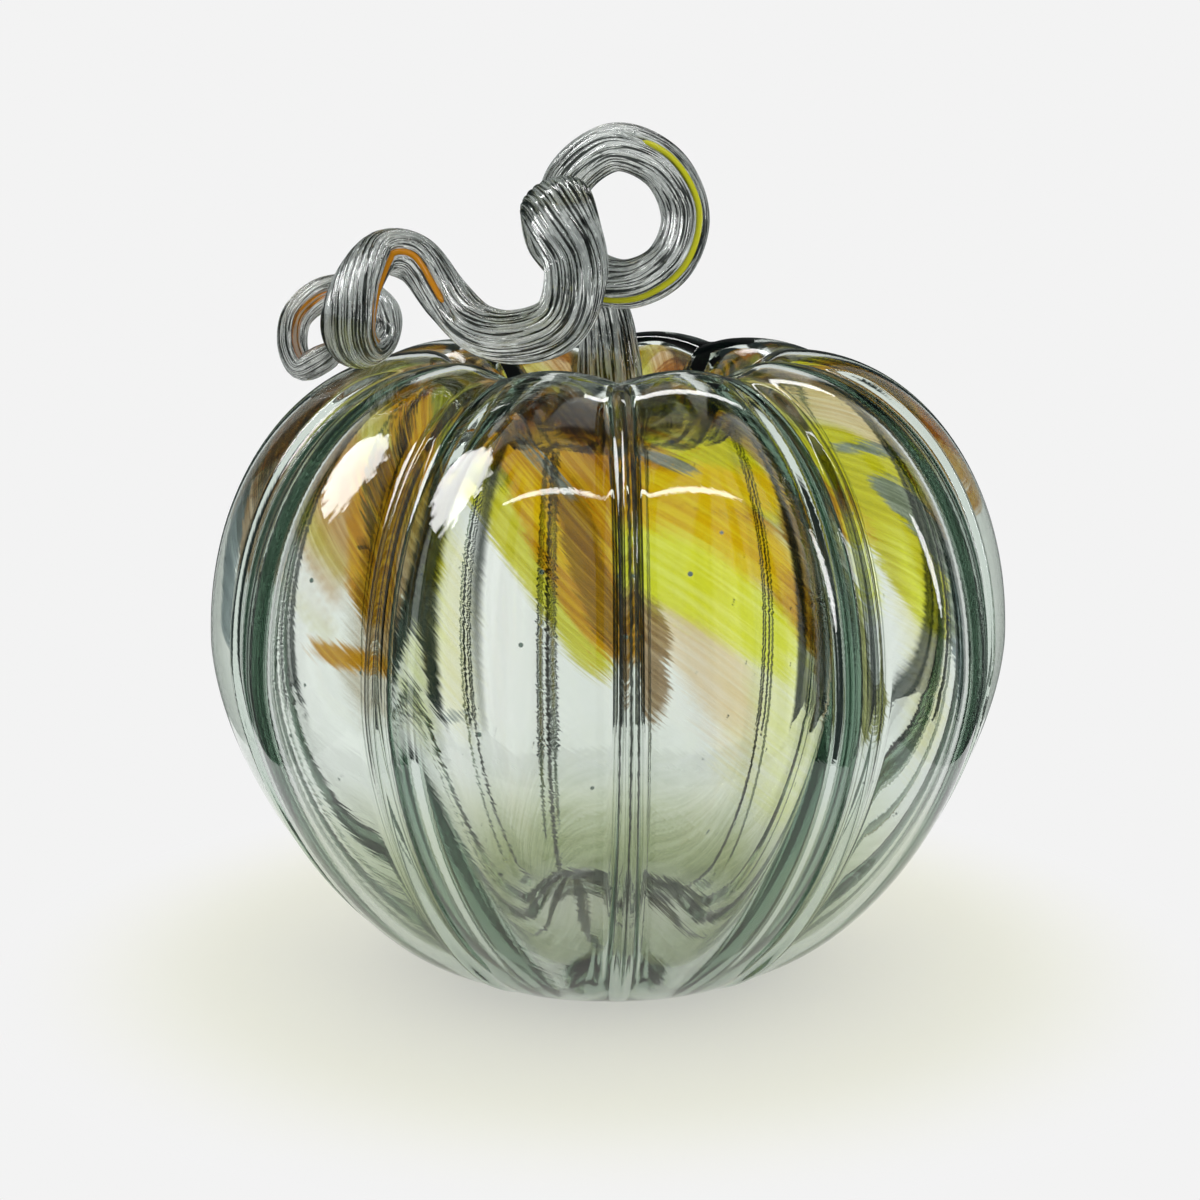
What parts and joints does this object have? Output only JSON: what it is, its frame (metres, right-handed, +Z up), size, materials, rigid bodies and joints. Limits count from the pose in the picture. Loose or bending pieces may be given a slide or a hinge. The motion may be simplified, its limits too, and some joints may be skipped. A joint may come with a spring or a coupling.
{
  "type": "glass pumpkin",
  "caption": "Hand-blown glass pumpkin: a ribbed hollow smoky body with amber and lime colour inside, and a curled, ribbed cane stem.",
  "frame": {"origin": "centre of the flat foot ring that the body stands on, on the body's axis", "axes": "+Z up along the body's axis, -Y towards the front of the object, +X to its right as seen from the front"},
  "size_m": [0.1598, 0.1566, 0.1691],
  "materials": {
    "smoky_glass": "fire-polished smoky clear glass",
    "colour_glass": "glass with melted-in amber, lime and slate colour",
    "stem_glass": "ribbed grey-green cane",
    "amber_cane": "amber cane",
    "lime_cane": "lime cane"
  },
  "bodies": {
    "root": {"outer_casing": "smoky_glass", "colour_bubble": "colour_glass", "stem": "stem_glass", "amber_thread": "amber_cane", "lime_thread": "lime_cane"}
  },
  "joints": []
}
